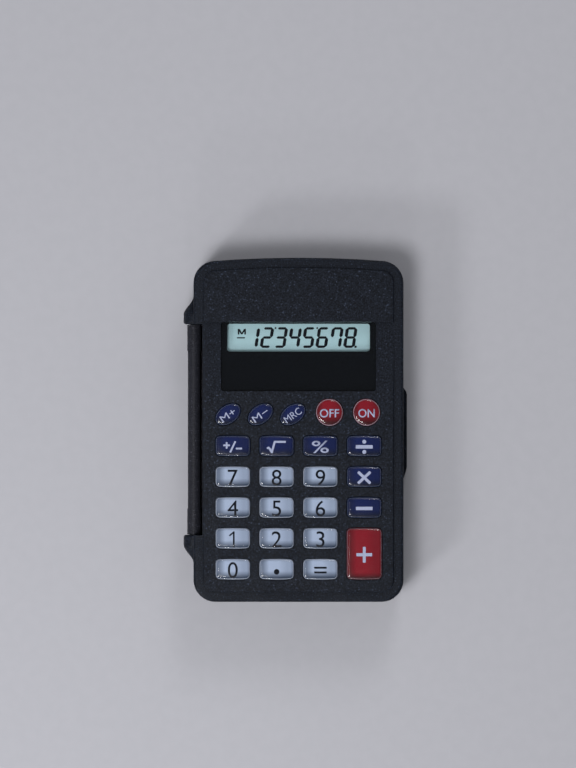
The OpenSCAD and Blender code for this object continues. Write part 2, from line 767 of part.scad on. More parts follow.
// A tube of radius r along points; ref is a direction that the path never follows
function unit(v) = v / norm(v);
module tube(points, r, ref, sides = 8) {
  last = len(points) - 1;
  rings = [
    for (i = [0:last])
      let (
        t = unit(points[min(i + 1, last)] - points[max(i - 1, 0)]),
        u = unit(cross(ref, t)),
        v = cross(t, u)
      )
      for (k = [0:sides - 1])
        points[i] + r * (cos(360 * k / sides) * u + sin(360 * k / sides) * v)
  ];
  polyhedron(
    points = rings,
    faces = concat(
      [[for (k = [0:sides - 1]) k]],
      [for (i = [0:last - 1], k = [0:sides - 1])
        let (a = i * sides + k, b = i * sides + (k + 1) % sides) [a, a + sides, b + sides, b]],
      [[for (k = [sides - 1:-1:0]) last * sides + k]]
    )
  );
}

module battery_spring() color([0.75, 0.75, 0.76]) in_frame() {
  steps = 14 * spring_turns;
  low = -bay_half + spring_wire_r;
  high = -bay_half + spring_l - spring_wire_r;
  translate([0, cell_y, cell_z]) tube([
    for (i = [0:steps])
      let (a = 360 * spring_turns * i / steps, r = 3.6 - 1.6 * i / steps)
      [low + (high - low) * i / steps, r * cos(a), r * sin(a)]
  ], spring_wire_r, [1, 0, 0]);
}

// Contact plate with a solder tab that passes through the bay wall; face_x is its inner face
module contact_plate(face_x, side) translate([face_x + (side < 0 ? -contact_t : 0), 0, 0]) {
  translate([0, cell_y - contact_half, cell_z - contact_half])
    cube([contact_t, 2 * contact_half, 2 * contact_half]);
  translate([0, bay_low_y - rib_t - tab_reach, tab_low_z])
    cube([contact_t, cell_y - contact_half - bay_low_y + rib_t + tab_reach, tab_high_z - tab_low_z]);
}

module negative_plate() color([0.75, 0.75, 0.76]) in_frame() contact_plate(-bay_half, -1);

module positive_plate() color([0.75, 0.75, 0.76]) in_frame() contact_plate(bay_half, 1);

// Smooth curve through points, with steps pieces between each two
function curve(p, steps) = [
  for (i = [0:len(p) - 2], k = [0:steps - 1])
    let (
      t = k / steps,
      a = p[max(i - 1, 0)],
      b = p[i],
      c = p[i + 1],
      d = p[min(i + 2, len(p) - 1)]
    )
    0.5 * (2 * b + (c - a) * t + (2 * a - 5 * b + 4 * c - d) * t * t
           + (3 * b - a - 3 * c + d) * t * t * t),
  p[len(p) - 1]
];

// Lead from a plate's solder tab to its pad under the board
module lead(side) {
  tab_x = side * (bay_half + contact_t);
  tab_y = bay_low_y - rib_t - tab_reach + lead_r + 0.2;
  tube(curve([
    [tab_x + side * lead_r, tab_y, tab_high_z - 1],
    [tab_x + side * (lead_r + 0.3), tab_y - 1.4, tab_low_z + 0.6],
    [tab_x + side * lead_r, tab_y - 3, tab_low_z + 0.5],
    [tab_x - side * 0.2, tab_y - 4.6, tab_low_z + 1.2],
    [tab_x - side * 0.6, tab_y - 5.2, tab_low_z + 2.6],
    [tab_x - side * 0.7, tab_y - 5.3, board_under_z]
  ], 4), lead_r, [1, 0, 0]);
}

module red_lead() color([0.7, 0.08, 0.06]) in_frame() lead(1);

module black_lead() color([0.05, 0.05, 0.05]) in_frame() lead(-1);

// Hinge and cover

module hinge_link() color([0.08, 0.08, 0.09]) in_frame() translate([hinge_x, 0, 0])
  rotate([90, 0, 0]) {
    link_bar(link_waist_r, link_l);
    for (side = [-1, 1]) translate([0, 0, side * (link_l - knuckle_l) / 2]) link_bar(link_r, knuckle_l);
    for (z = [cover_axis_z, split_z]) translate([0, z, 0])
      cylinder(h = link_l + 2 * pin_l, r = pin_r, center = true);
  }

// Bar with round edges on both hinge axes, along the link
module link_bar(r, l) {
  for (z = [cover_axis_z, split_z]) translate([0, z, 0]) cylinder(h = l, r = r, center = true);
  translate([-r, cover_axis_z, -l / 2]) cube([2 * r, split_z - cover_axis_z, l]);
}

module flip_cover() color([0.09, 0.09, 0.1]) in_frame() difference() {
  union() {
    difference() {
      rounded_slab(0, cover_t, 0.3, 1.2);
      difference() {
        translate([0, 0, -over]) linear_extrude(cover_t - cover_panel + over)
          polygon(body_outline(cover_wall));
        link_slot(-2 * over, cover_t, cover_wall);
      }
      link_slot(-over, cover_t + over);
    }
    bosses(cover_axis_z, cover_boss_r);
    thumb_tab();
  }
  boss_bores(cover_axis_z);
  // The wall beside the link steps over the edge of the key platform
  translate([slot_x - 0.3, -boss_face_y - cover_wall - 0.3, -over])
    cube([cover_wall + 0.8, 2 * (boss_face_y + cover_wall + 0.3), platform_rise + 0.3 + over]);
}

// Thumb tab on the cover's free side, with a short upper ramp and a longer lower one
module thumb_tab() {
  side_x = body_w / 2;
  translate([0, -tab_drop, (cover_t - tab_t) / 2]) linear_extrude(tab_t) polygon([
    [side_x - cover_wall / 2, tab_l / 2 + 2.4], [side_x, tab_l / 2 + 2.4],
    [side_x + tab_proud * 0.85, tab_l / 2 + 0.5], [side_x + tab_proud, tab_l / 2 - 0.6],
    [side_x + tab_proud, -tab_l / 2 + 0.8], [side_x + tab_proud * 0.8, -tab_l / 2 - 0.6],
    [side_x, -tab_l / 2 - 4.1], [side_x - cover_wall / 2, -tab_l / 2 - 4.1]
  ]);
}

// Keys

// Key of any outline: bevelled cap, the flange under the case and the stem on its dome
module prism_key(outline) {
  cap_z = top_z + key_proud;
  loft([
    [outline[0], plate_under_z - flange_t / 2],
    [outline[0], cap_z - key_bevel],
    [outline[1], cap_z - key_bevel * 0.35],
    [outline[2], cap_z]
  ]);
  translate([0, 0, plate_under_z - flange_t]) linear_extrude(flange_t) polygon(outline[3]);
  translate([0, 0, stem_under_z]) cylinder(h = stem_l + join, r = stem_r);
}

function key_stages(w, h) = [
  key_outline(w, h), key_outline(w, h, key_bevel * 0.45), key_outline(w, h, key_bevel * 1.3),
  key_outline(w, h, -flange_w)
];
function oval_stages() = [
  oval_outline(), oval_outline(key_bevel * 0.45), oval_outline(key_bevel * 1.3), oval_outline(-flange_w)
];

module digit_key(column, row) color([0.82, 0.82, 0.88]) in_frame()
  at_grid(column, row) prism_key(key_stages(key_w, key_h));

module blue_key(column, row) color([0.1, 0.12, 0.35]) in_frame()
  at_grid(column, row) prism_key(key_stages(key_w, key_h));

module oval_key(place) color([0.1, 0.12, 0.35]) in_frame() at_oval(place) prism_key(oval_stages());

module round_key(side) color([0.65, 0.06, 0.1]) in_frame() at_round(side) {
  r = round_d / 2;
  cap_z = top_z + key_proud;
  rotate_extrude() polygon(concat(
    [[0, stem_under_z], [stem_r, stem_under_z], [stem_r, plate_under_z - flange_t]],
    [[r + flange_w, plate_under_z - flange_t], [r + flange_w, plate_under_z], [r, plate_under_z]],
    [for (a = [0:15:90]) [r - key_bevel * (1 - cos(a)), cap_z - key_bevel * (1 - sin(a))]],
    [[0, cap_z]]
  ));
}

module key_memory_plus() oval_key(0);
module key_memory_minus() oval_key(1);
module key_memory_recall() oval_key(2);
module key_off() round_key(0);
module key_on() round_key(1);
module key_sign() blue_key(0, 0);
module key_root() blue_key(1, 0);
module key_percent() blue_key(2, 0);
module key_divide() blue_key(3, 0);
module key_7() digit_key(0, 1);
module key_8() digit_key(1, 1);
module key_9() digit_key(2, 1);
module key_multiply() blue_key(3, 1);
module key_4() digit_key(0, 2);
module key_5() digit_key(1, 2);
module key_6() digit_key(2, 2);
module key_minus() blue_key(3, 2);
module key_1() digit_key(0, 3);
module key_2() digit_key(1, 3);
module key_3() digit_key(2, 3);
module key_plus() color([0.65, 0.06, 0.1]) in_frame() at_plus() prism_key(key_stages(plus_w, plus_h));
module key_0() digit_key(0, 4);
module key_point() digit_key(1, 4);
module key_equals() digit_key(2, 4);

front_case();
rear_case();
display_window();
lcd_front_polarizer();
lcd_front_glass();
lcd_rear_glass();
lcd_reflector();
contact_strip();
circuit_board();
chip_blob();
board_capacitor();
board_resistors();
keypad_membrane();
carbon_pills();
board_screws();
case_screws();
battery();
battery_spring();
negative_plate();
positive_plate();
red_lead();
black_lead();
battery_door();
hinge_link();
flip_cover();
key_memory_plus();
key_memory_minus();
key_memory_recall();
key_off();
key_on();
key_sign();
key_root();
key_percent();
key_divide();
key_7();
key_8();
key_9();
key_multiply();
key_4();
key_5();
key_6();
key_minus();
key_1();
key_2();
key_3();
key_plus();
key_0();
key_point();
key_equals();
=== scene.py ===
import json
import math

import bpy
from mathutils import Matrix, Vector

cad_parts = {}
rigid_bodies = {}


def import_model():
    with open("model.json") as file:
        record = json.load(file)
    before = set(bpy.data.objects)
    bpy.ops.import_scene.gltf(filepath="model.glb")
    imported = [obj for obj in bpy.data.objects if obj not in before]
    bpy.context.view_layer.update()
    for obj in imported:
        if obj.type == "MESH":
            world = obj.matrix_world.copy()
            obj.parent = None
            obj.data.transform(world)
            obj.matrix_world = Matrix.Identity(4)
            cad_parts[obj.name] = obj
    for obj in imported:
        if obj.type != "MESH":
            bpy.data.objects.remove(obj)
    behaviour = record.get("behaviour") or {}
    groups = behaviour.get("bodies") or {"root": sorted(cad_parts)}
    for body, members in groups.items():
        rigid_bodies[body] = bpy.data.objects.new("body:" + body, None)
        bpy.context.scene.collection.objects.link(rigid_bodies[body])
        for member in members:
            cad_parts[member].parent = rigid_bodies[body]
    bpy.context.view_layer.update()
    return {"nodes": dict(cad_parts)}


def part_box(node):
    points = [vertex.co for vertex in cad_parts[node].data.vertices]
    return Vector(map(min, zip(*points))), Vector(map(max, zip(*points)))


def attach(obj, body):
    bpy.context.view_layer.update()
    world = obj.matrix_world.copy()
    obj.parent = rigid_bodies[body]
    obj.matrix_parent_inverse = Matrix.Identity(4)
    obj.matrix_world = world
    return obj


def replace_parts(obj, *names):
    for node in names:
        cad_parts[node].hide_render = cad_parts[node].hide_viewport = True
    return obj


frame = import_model()
nodes = frame["nodes"]
bpy.ops.object.select_all(action="DESELECT")
MM = 0.001


# Circuit board: one glass-laminate board whose copper tracks show as paler lines under its green
# lacquer. It hangs from six posts of the front half, and carries the glob-top chip, the
# capacitor and the four small resistors on its rear side.
def start_material(name, colour, roughness, **sockets):
    """A material with its plain values on the shader's own sockets."""
    material = bpy.data.materials.new(name)
    material.use_nodes = True
    shader = material.node_tree.nodes["Principled BSDF"]
    shader.inputs["Base Color"].default_value = (*colour, 1)
    shader.inputs["Roughness"].default_value = roughness
    for socket, value in sockets.items():
        shader.inputs[socket.replace("_", " ")].default_value = value
    return material, shader


def part_place(material, stretch=(1, 1, 1)):
    """The piece's own coordinates, in metres."""
    tree = material.node_tree
    place = tree.nodes.new("ShaderNodeTexCoord")
    mapping = tree.nodes.new("ShaderNodeMapping")
    mapping.inputs["Scale"].default_value = stretch
    tree.links.new(place.outputs["Object"], mapping.inputs["Vector"])
    return mapping.outputs["Vector"]


def grain(material, size, detail=2.0, stretch=(1, 1, 1)):
    """Noise with blotches about size metres across."""
    tree = material.node_tree
    noise = tree.nodes.new("ShaderNodeTexNoise")
    noise.inputs["Scale"].default_value = 1 / size
    noise.inputs["Detail"].default_value = detail
    tree.links.new(part_place(material, stretch), noise.inputs["Vector"])
    return noise.outputs["Fac"]


def between(material, value, low, high, start=0.35, end=0.65):
    """Spreads a value that runs from start to end over low to high."""
    tree = material.node_tree
    node = tree.nodes.new("ShaderNodeMapRange")
    for socket, number in (("From Min", start), ("From Max", end), ("To Min", low), ("To Max", high)):
        node.inputs[socket].default_value = number
    tree.links.new(value, node.inputs["Value"])
    return node.outputs["Result"]


def tinted(material, value, first, second):
    """Colour that goes from first to second as value goes from 0 to 1."""
    tree = material.node_tree
    node = tree.nodes.new("ShaderNodeMix")
    node.data_type = "RGBA"
    tree.links.new(value, node.inputs["Factor"])
    for socket, colour in ((node.inputs[6], first), (node.inputs[7], second)):
        if isinstance(colour, tuple):
            socket.default_value = (*colour, 1)
        else:
            tree.links.new(colour, socket)
    return node.outputs[2]


def relief(material, shader, value, depth):
    """Raises the surface by depth metres where value is high."""
    tree = material.node_tree
    node = tree.nodes.new("ShaderNodeBump")
    node.inputs["Distance"].default_value = depth
    tree.links.new(value, node.inputs["Height"])
    tree.links.new(node.outputs["Normal"], shader.inputs["Normal"])


def feed(material, shader, **sockets):
    """Runs node outputs into the shader's sockets."""
    for socket, output in sockets.items():
        material.node_tree.links.new(output, shader.inputs[socket.replace("_", " ")])


def plastic(name, dark, pale, size, roughness, depth, **sockets):
    """Moulded or coated surface: two tones of fine grain, uneven gloss and a shallow relief."""
    material, shader = start_material(name, dark, roughness, **sockets)
    fine = grain(material, size)
    broad = grain(material, 12 * size, 3)
    feed(material, shader,
         Base_Color=tinted(material, between(material, fine, 0, 1), dark, pale),
         Roughness=between(material, broad, roughness - 0.05, roughness + 0.06))
    relief(material, shader, fine, depth)
    return material


def dress(material, *names):
    """Gives CAD nodes a finish of their own."""
    for name in names:
        nodes[name].material_slots[0].material = material


lacquer, lacquer_shader = start_material("board_lacquer", (0.01, 0.09, 0.04), 0.3)
tracks = lacquer.node_tree.nodes.new("ShaderNodeTexWave")
tracks.inputs["Scale"].default_value = 260
tracks.inputs["Distortion"].default_value = 9
tracks.inputs["Detail Scale"].default_value = 0.6
lacquer.node_tree.links.new(part_place(lacquer, (0.35, 1, 1)), tracks.inputs["Vector"])
track_edge = between(lacquer, tracks.outputs["Fac"], 0, 1, 0.55, 0.68)
feed(lacquer, lacquer_shader,
     Base_Color=tinted(lacquer, track_edge, (0.008, 0.07, 0.035), (0.03, 0.2, 0.07)))
relief(lacquer, lacquer_shader, track_edge, 0.03 * MM)
dress(lacquer, "circuit_board")
dress(plastic("chip_epoxy", (0.006, 0.006, 0.007), (0.012, 0.012, 0.013), 0.8 * MM, 0.22, 0.02 * MM),
      "chip_blob")
dress(plastic("resistor_body", (0.01, 0.01, 0.012), (0.03, 0.03, 0.034), 0.2 * MM, 0.4, 0.01 * MM),
      "board_resistors")

sleeve, sleeve_shader = start_material("capacitor_sleeve", (0.01, 0.02, 0.09), 0.3)
across = sleeve.node_tree.nodes.new("ShaderNodeSeparateXYZ")
sleeve.node_tree.links.new(part_place(sleeve), across.inputs["Vector"])
sleeve_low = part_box("board_capacitor")[0].z
stripe = between(sleeve, across.outputs["Z"], 1, 0, sleeve_low + 0.5 * MM, sleeve_low + 0.6 * MM)
feed(sleeve, sleeve_shader,
     Base_Color=tinted(sleeve, stripe, (0.012, 0.022, 0.1), (0.45, 0.47, 0.5)),
     Roughness=between(sleeve, grain(sleeve, 0.6 * MM), 0.24, 0.36))
dress(sleeve, "board_capacitor")


# Keypad mat: one sheet of pale grey silicone rubber with a dome under every key, and in each dome a
# pill of carbon-loaded silicone that closes the contact on the board.
silicone = plastic("keypad_silicone", (0.42, 0.44, 0.43), (0.5, 0.51, 0.5), 1.5 * MM, 0.55, 0.01 * MM,
                   Subsurface_Weight=0.2, Subsurface_Scale=0.6 * MM)
dress(silicone, "keypad_membrane")
dress(plastic("carbon_pill", (0.012, 0.012, 0.012), (0.03, 0.03, 0.03), 0.15 * MM, 0.75, 0.02 * MM),
      "carbon_pills")


# Screws and battery contacts: zinc-plated steel screws with a cross recess, a nickel-plated spring
# and two nickel-plated sheet contacts. Plating is slightly clouded and finely brushed.
def plated(name, tone, size, roughness, stretch=(1, 1, 1)):
    """Plated metal with clouds about size metres across."""
    material, shader = start_material(name, tone, roughness, Metallic=1.0)
    cloud = grain(material, size, 4, stretch)
    feed(material, shader,
         Base_Color=tinted(material, between(material, cloud, 0, 1), tuple(0.8 * c for c in tone), tone),
         Roughness=between(material, cloud, roughness - 0.08, roughness + 0.12))
    relief(material, shader, cloud, 0.008 * MM)
    return material


dress(plated("zinc_plating", (0.66, 0.66, 0.64), 0.5 * MM, 0.34), "board_screws", "case_screws")
dress(plated("nickel_plating", (0.72, 0.71, 0.68), 0.4 * MM, 0.24, (1, 1, 6)),
      "battery_spring", "negative_plate", "positive_plate")


# Leads: short stranded wires in soft PVC, red from the button end and black from the spring end.
# Each is soldered to its plate's tab and to its pad under the board.
dress(plastic("red_pvc", (0.42, 0.015, 0.01), (0.5, 0.025, 0.015), 0.5 * MM, 0.38, 0.01 * MM), "red_lead")
dress(plastic("black_pvc", (0.01, 0.01, 0.01), (0.02, 0.02, 0.02), 0.5 * MM, 0.38, 0.01 * MM), "black_lead")


# Battery: an AAA cell in a dark printed jacket with one plain copper-coloured band, and bare
# nickel ends. The shrunk jacket ends just short of both ends of the can.
cell, cell_shader = start_material("cell_jacket", (0.02, 0.02, 0.025), 0.3)
along = cell.node_tree.nodes.new("ShaderNodeSeparateXYZ")
cell.node_tree.links.new(part_place(cell), along.inputs["Vector"])
cell_low, cell_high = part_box("battery")
bare_left = between(cell, along.outputs["X"], 1, 0, cell_low.x + 0.7 * MM, cell_low.x + 0.75 * MM)
bare_right = between(cell, along.outputs["X"], 0, 1, cell_high.x - 2.0 * MM, cell_high.x - 1.95 * MM)
band = between(cell, along.outputs["X"], 0, 1, cell_high.x - 13 * MM, cell_high.x - 12.9 * MM)
jacket = tinted(cell, band, (0.018, 0.019, 0.024), (0.4, 0.14, 0.04))
ends = cell.node_tree.nodes.new("ShaderNodeMath")
ends.operation = "MAXIMUM"
cell.node_tree.links.new(bare_left, ends.inputs[0])
cell.node_tree.links.new(bare_right, ends.inputs[1])
feed(cell, cell_shader,
     Base_Color=tinted(cell, ends.outputs[0], jacket, (0.7, 0.69, 0.66)),
     Metallic=ends.outputs[0],
     Roughness=between(cell, grain(cell, 1.2 * MM), 0.24, 0.36))
dress(cell, "battery")


# Display: two panes of thin glass between a polarizing film and a pale reflector. The film shows the
# silvery grey-green of the reflector, and a striped rubber strip joins the glass to the board.
film = plastic("display_film", (0.45, 0.65, 0.7), (0.47, 0.675, 0.73), 0.25 * MM, 0.32, 0.002 * MM,
               Specular_IOR_Level=0.2)
dress(film, "lcd_front_polarizer")
dress(plastic("reflector_foil", (0.5, 0.56, 0.54), (0.58, 0.63, 0.61), 0.3 * MM, 0.35, 0.004 * MM),
      "lcd_reflector")


def clear(name, tone, ior, roughness):
    """Clear plate: light goes straight through, and its outer face mirrors by the angle."""
    material = bpy.data.materials.new(name)
    material.use_nodes = True
    tree = material.node_tree
    tree.nodes.remove(tree.nodes["Principled BSDF"])
    through = tree.nodes.new("ShaderNodeBsdfTransparent")
    through.inputs["Color"].default_value = (*tone, 1)
    gloss = tree.nodes.new("ShaderNodeBsdfGlossy")
    gloss.inputs["Color"].default_value = (1, 1, 1, 1)
    haze = between(material, grain(material, 1.6 * MM), roughness, 1.6 * roughness)
    tree.links.new(haze, gloss.inputs["Roughness"])
    angle = tree.nodes.new("ShaderNodeFresnel")
    angle.inputs["IOR"].default_value = ior
    both = tree.nodes.new("ShaderNodeMixShader")
    inside = tree.nodes.new("ShaderNodeNewGeometry")
    outer = tree.nodes.new("ShaderNodeMath")
    outer.operation = "SUBTRACT"
    outer.use_clamp = True
    tree.links.new(angle.outputs["Fac"], outer.inputs[0])
    tree.links.new(inside.outputs["Backfacing"], outer.inputs[1])
    tree.links.new(outer.outputs["Value"], both.inputs[0])
    tree.links.new(through.outputs["BSDF"], both.inputs[1])
    tree.links.new(gloss.outputs["BSDF"], both.inputs[2])
    tree.links.new(both.outputs["Shader"], tree.nodes["Material Output"].inputs["Surface"])
    return material


dress(clear("pane_glass", (0.9, 0.95, 0.93), 1.52, 0.02), "lcd_front_glass", "lcd_rear_glass")

zebra, zebra_shader = start_material("striped_rubber", (0.7, 0.3, 0.4), 0.5)
rungs = zebra.node_tree.nodes.new("ShaderNodeTexWave")
rungs.inputs["Scale"].default_value = 1600
zebra.node_tree.links.new(part_place(zebra), rungs.inputs["Vector"])
feed(zebra, zebra_shader,
     Base_Color=tinted(zebra, rungs.outputs["Fac"], (0.02, 0.02, 0.02), (0.75, 0.35, 0.42)))
dress(zebra, "contact_strip")


# Display figures: liquid-crystal segments as thin dark bars on the film, leaning to the right. They
# show 1 to 8 with the point lit, the small separators, and the memory and minus signs at the left.
weld = 0.002 * MM      # corners nearer than this become one
mark_t = 0.02 * MM     # thickness of a figure on the film and of a mark on a key


def edit(piece):
    """Opens one piece in edit mode with all of it selected."""
    bpy.ops.object.select_all(action="DESELECT")
    bpy.context.view_layer.objects.active = piece
    piece.select_set(True)
    bpy.ops.object.mode_set(mode="EDIT")
    bpy.ops.mesh.select_all(action="SELECT")


def done():
    """Leaves edit mode with nothing selected."""
    bpy.ops.object.mode_set(mode="OBJECT")
    bpy.ops.object.select_all(action="DESELECT")


def faced_out():
    """Turns every face of the open piece outwards, and leaves edit mode."""
    bpy.ops.mesh.select_all(action="SELECT")
    bpy.ops.mesh.normals_make_consistent(inside=False)
    done()


def thicken(thickness):
    """Raises the open flat shape into a closed sheet, and leaves edit mode."""
    bpy.ops.mesh.remove_doubles(threshold=weld)
    bpy.ops.mesh.select_all(action="SELECT")
    bpy.ops.mesh.extrude_region_move(TRANSFORM_OT_translate={"value": (0, 0, thickness)})
    faced_out()


def bar(length, width, cut):
    """Flat bar about the origin with its corners cut, its sizes in millimetres."""
    bpy.ops.mesh.primitive_plane_add(size=1)
    piece = bpy.context.object
    edit(piece)
    bpy.ops.transform.resize(value=(length * MM, width * MM, 1))
    bpy.ops.mesh.bevel(offset=cut * MM, segments=1, affect="VERTICES")
    thicken(mark_t)
    return piece


def twin(piece, place):
    """A copy with its own mesh, moved by place."""
    other = piece.copy()
    other.data = piece.data.copy()
    other.data.transform(place)
    bpy.context.collection.objects.link(other)
    return other


def shift(x, y, z=0.0, turn=0.0):
    """Place at x, y, z in millimetres, turned about Z by degrees."""
    return Matrix.Translation((x * MM, y * MM, z * MM)) @ Matrix.Rotation(math.radians(turn), 4, "Z")


def joined(name, pieces):
    """Makes pieces one object with its place in its mesh."""
    bpy.ops.object.select_all(action="DESELECT")
    for piece in pieces:
        piece.select_set(True)
    bpy.context.view_layer.objects.active = pieces[0]
    bpy.ops.object.join()
    whole = bpy.context.object
    whole.name = whole.data.name = name
    bpy.ops.object.select_all(action="DESELECT")
    return whole


def words(text, height, width=None, offset=0.0):
    """Lettering centred on the origin, its height and width in millimetres."""
    bpy.ops.object.text_add()
    piece = bpy.context.object
    piece.data.body = text
    piece.data.size = height * MM
    piece.data.offset = offset * MM
    bpy.ops.object.convert(target="MESH")
    piece = bpy.context.object
    edit(piece)
    thicken(mark_t)
    xs = [v.co.x for v in piece.data.vertices]
    ys = [v.co.y for v in piece.data.vertices]
    tall = height * MM / (max(ys) - min(ys))
    wide = width * MM / (max(xs) - min(xs)) if width else tall
    centred = Matrix.Translation((-(min(xs) + max(xs)) / 2, -(min(ys) + max(ys)) / 2, 0))
    piece.data.transform(Matrix.Diagonal((wide, tall, 1, 1)) @ centred)
    return piece


body_x = 1.0                      # middle of the case between its left edge and right edge
film_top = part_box("lcd_front_polarizer")[1].z / MM
figure_w, figure_h, upright_w, across_w = 4.05, 7.1, 1.1, 0.82
first_x, figure_y, pitch, lean = body_x - 18.15, 28.1, 4.77, 0.15
point_gap, point_y = 0.25, 0.38                # from the last figure to its point
tick_gap, tick_drop, tick_size = 0.42, 0.3, (0.7, 0.8, 1, 1)
memory_x, memory_y = body_x - 19.45, 33.65
minus_x, minus_y = body_x - 19.75, 31.55
figure_lift = 0.01                             # from the film to the underside of a figure
across_bar = bar(2.9, across_w, 0.38)
upright_bar = bar(3.1, upright_w, 0.5)
middle_x, right_x, left_x = figure_w / 2, figure_w - upright_w / 2, upright_w / 2
low_y, high_y = figure_h * 0.27, figure_h * 0.73
segment_places = {
    "a": (across_bar, shift(middle_x, figure_h - across_w / 2)),
    "g": (across_bar, shift(middle_x, figure_h / 2)),
    "d": (across_bar, shift(middle_x, across_w / 2)),
    "b": (upright_bar, shift(right_x, high_y, 0, 90)),
    "c": (upright_bar, shift(right_x, low_y, 0, 90)),
    "f": (upright_bar, shift(left_x, high_y, 0, 90)),
    "e": (upright_bar, shift(left_x, low_y, 0, 90)),
}
lit = ["bc", "abged", "abgcd", "fgbc", "afgcd", "afgedc", "fabc", "abcdefg"]
figures = []
for place, letters in enumerate(lit):
    for letter in letters:
        shape, where = segment_places[letter]
        figures.append(twin(shape, shift(first_x + place * pitch, 0) @ where))
point = bar(0.8, 0.75, 0.12)
last = len(lit) - 1
figures.append(twin(point, shift(first_x + last * pitch + figure_w + point_gap, point_y)))
for place in (1, 4):
    tick_x = first_x + place * pitch + figure_w + tick_gap
    figures.append(twin(point, shift(tick_x, figure_h - tick_drop) @ Matrix.Diagonal(tick_size)))
for shape in (across_bar, upright_bar, point):
    bpy.data.objects.remove(shape)
segments = joined("figure_segments", figures)
for vertex in segments.data.vertices:
    vertex.co.x += lean * vertex.co.y
memory_bar = bar(1.95, 0.55, 0.05)
memory_strokes = ((-1.12, 0, 90), (1.12, 0, 90), (-0.5, 0.004, -60), (0.5, 0.002, 60))
memory_sign = joined("memory_sign", [twin(memory_bar, shift(x, 0, lift, turn))
                                     for x, lift, turn in memory_strokes])
memory_sign.data.transform(shift(memory_x, memory_y - figure_y))
bpy.data.objects.remove(memory_bar)
minus_sign = bar(2.75, 0.42, 0.05)
minus_sign.data.transform(shift(minus_x, minus_y - figure_y))
segments = joined("display_figures", [segments, memory_sign, minus_sign])
segments.data.transform(shift(0, figure_y, film_top + figure_lift))
segments.data.materials.clear()
segments.data.materials.append(
    plastic("liquid_crystal", (0.002, 0.003, 0.006), (0.005, 0.007, 0.012), 0.3 * MM, 0.35, 0.001 * MM,
            Specular_IOR_Level=0.1))
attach(segments, "case")


# Case: two halves of black ABS with a fine spark-eroded grain, screwed together from the back,
# and the battery door that slides along the rear half. The grain's sparkle is painted into the
# colour as bright flecks: painted glints.
def smoothed(piece, angle=34):
    """Shades curves as curves and keeps flat faces level."""
    bpy.ops.object.select_all(action="DESELECT")
    bpy.context.view_layer.objects.active = piece
    piece.select_set(True)
    bpy.ops.object.shade_smooth_by_angle(angle=math.radians(angle))
    weighted = piece.modifiers.new("level_faces", "WEIGHTED_NORMAL")
    weighted.keep_sharp = True
    weighted.weight = 90
    bpy.ops.object.modifier_apply(modifier=weighted.name)
    bpy.ops.object.select_all(action="DESELECT")


def smooth_copy(node, name, material=None, body=None):
    """A CAD node with its triangles merged and its curves smooth; it stands for the node on a body."""
    mesh = nodes[node].data.copy()
    mesh.name = name
    mesh.materials.clear()
    mesh.materials.append(material)
    piece = bpy.data.objects.new(name, mesh)
    bpy.context.collection.objects.link(piece)
    bpy.context.view_layer.objects.active = piece
    piece.select_set(True)
    bpy.ops.mesh.customdata_custom_splitnormals_clear()
    edit(piece)
    bpy.ops.mesh.remove_doubles(threshold=weld)
    bpy.ops.mesh.dissolve_limited(angle_limit=math.radians(0.3))
    done()
    smoothed(piece)
    if body:
        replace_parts(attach(piece, body), node)
    return piece


def moulded(name, dark, pale, roughness, depth, size=0.5 * MM):
    """Grained black plastic: fine speckle over slow clouding, with painted glints here and there."""
    material, shader = start_material(name, dark, roughness, Specular_IOR_Level=0.12)
    fine = grain(material, size, 1.5)
    cloud = grain(material, 5 * MM, 3)
    spark = grain(material, 0.5 * MM, 0)
    mixed = tinted(material, between(material, fine, 0, 1, 0.38, 0.66), dark, pale)
    # Painted glints: scattered flecks far paler than the grain's pale tone.
    painted_glint = tuple(3.2 * c for c in pale)
    mixed = tinted(material, between(material, spark, 0, 1, 0.74, 0.84), mixed, painted_glint)
    feed(material, shader, Base_Color=mixed,
         Roughness=between(material, cloud, roughness - 0.06, roughness + 0.08))
    relief(material, shader, fine, depth)
    return material


grained_black = moulded("grained_black", (0.003, 0.0042, 0.0075), (0.0125, 0.0165, 0.027), 0.5,
                        0.02 * MM)
smooth_copy("front_case", "front_shell", grained_black, "case")
smooth_copy("rear_case", "rear_shell", grained_black, "case")
smooth_copy("battery_door", "battery_cover", grained_black, "door")


# Flip cover and its hinge link: the cover is the same grained black plastic; the link is black
# acetal, which has to turn in the bosses, so its grain is finer and it is a little smoother. Its
# tones are paler than the case's: painted light that makes up for the shade of the slot it lies in.
smooth_copy("flip_cover", "flip_cover_shell", grained_black, "cover")
# Painted light: tones raised above the case's to offset the shade of the link's slot.
link_acetal = moulded("link_acetal", (0.011, 0.0115, 0.0155), (0.029, 0.03, 0.04), 0.44, 0.01 * MM,
                      0.36 * MM)
smooth_copy("hinge_link", "hinge_link_bar", link_acetal, "link")


# Display lens: a clear acrylic plate let into the sloping seat of the front half. Its back is
# printed gloss black around a clear window with rounded corners.
smooth_copy("display_window", "lens_plate", clear("lens_acrylic", (0.97, 0.98, 0.98), 1.45, 0.03),
            "case")
lens_low, lens_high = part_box("display_window")
fold_y, seat_fall = 13.31, 0.8    # where the seat starts to slope, and how far it falls
slope = math.atan2(seat_fall, lens_high.y / MM - fold_y)
